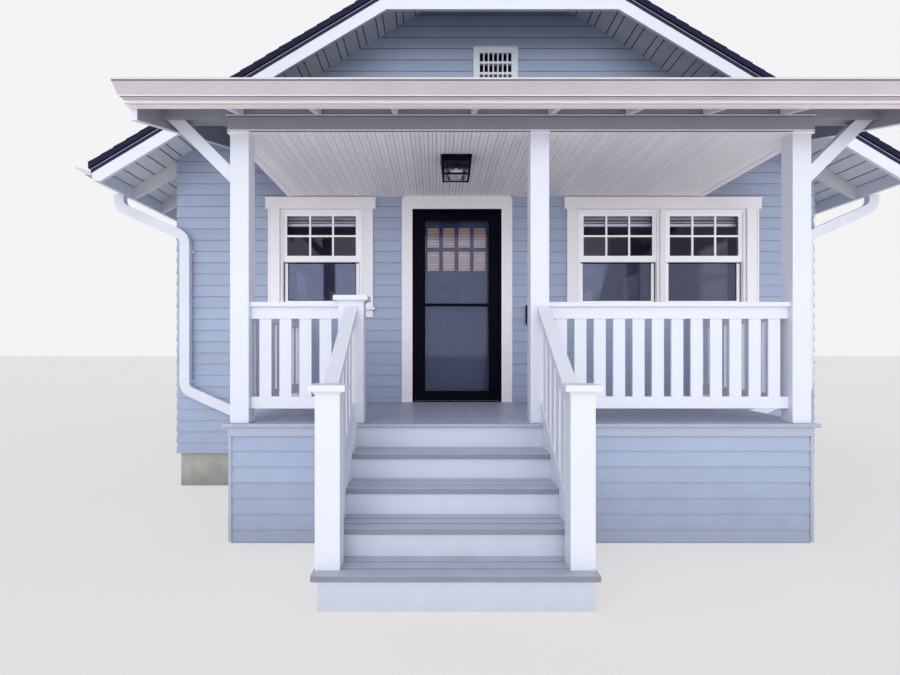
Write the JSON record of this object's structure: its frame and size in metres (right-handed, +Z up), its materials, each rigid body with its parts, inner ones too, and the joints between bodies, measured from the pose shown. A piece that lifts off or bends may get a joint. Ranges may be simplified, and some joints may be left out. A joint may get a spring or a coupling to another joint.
{
  "type": "bungalow",
  "caption": "Single-storey bungalow with a clipped front gable, a full-width railed porch with steps, and a glazed outer door over a dark inner door, both on hinges.",
  "frame": {"origin": "on the ground, under the middle of the whole building's plan", "axes": "+Z up, -Y out of the porch front, +X to the right as seen from the street"},
  "size_m": [8.076, 13.346, 5.5696],
  "materials": {
    "concrete": "grey cast concrete, matt",
    "floor_boards": "oiled floor boards",
    "plaster": "matt white plaster board",
    "siding": "painted lap boards, satin blue-grey",
    "trim": "painted white, satin",
    "soffit": "painted grey, matt",
    "shingles": "dark mineral shingles, matt",
    "gutter": "white baked enamel",
    "glass": "clear window glass",
    "black_metal": "black satin enamel",
    "door_navy": "dark navy paint, satin",
    "treads": "painted grey boards, satin"
  },
  "bodies": {
    "house": {"foundation": "concrete", "floor": "floor_boards", "ceiling": "plaster", "front_wall_left": "siding", "front_wall_right": "siding", "front_wall_over_door": "siding", "front_gable": "siding", "left_wall": "siding", "right_wall": "siding", "rear_wall": "siding", "gable_vents": "trim", "roof_boards_left": "soffit", "roof_boards_right": "soffit", "roof_boards_clips": "soffit", "shingles_left": "shingles", "shingles_right": "shingles", "shingles_clips": "shingles", "ridge_cap": "shingles", "barge_boards": "trim", "rafter_tails": "soffit", "eave_fascias": "trim", "eave_gutters": "gutter", "downspouts": "gutter", "window_frames": "trim", "window_glass": "glass", "window_casings": "trim", "door_casing": "trim", "door_frame": "trim", "storm_frame_bars": "black_metal", "door_hinges": "black_metal", "porch_skirt_front": "siding", "porch_skirt_sides": "siding", "porch_floor": "treads", "porch_posts": "trim", "porch_beam": "soffit", "porch_side_beams": "soffit", "porch_ceiling": "trim", "knee_braces": "trim", "porch_roof_boards": "soffit", "porch_shingles": "shingles", "porch_barges": "trim", "porch_fascia": "trim", "porch_gutter": "gutter", "stair_treads": "treads", "stair_risers": "trim", "stair_stringers": "trim", "newels": "trim", "stair_rails": "trim", "porch_railings": "trim", "lantern": "black_metal", "lantern_glass": "glass", "letter_box": "black_metal"},
    "storm_door": {"storm_door": "black_metal", "storm_door_glass": "glass", "storm_door_handle": "black_metal", "storm_door_hinges": "black_metal"},
    "front_door": {"front_door": "door_navy", "front_door_glass": "glass", "front_door_fittings": "black_metal"}
  },
  "joints": [
    {"name": "storm_door_swing", "type": "hinge", "parent": "house", "child": "storm_door", "pos_m": [0.03, -3.861, 1.9], "axis": [0, 0, 1], "range_deg": [0, 90]},
    {"name": "front_door_swing", "type": "hinge", "parent": "house", "child": "front_door", "pos_m": [0.058, -3.659, 1.9], "axis": [0, 0, -1], "range_deg": [0, 90]}
  ]
}
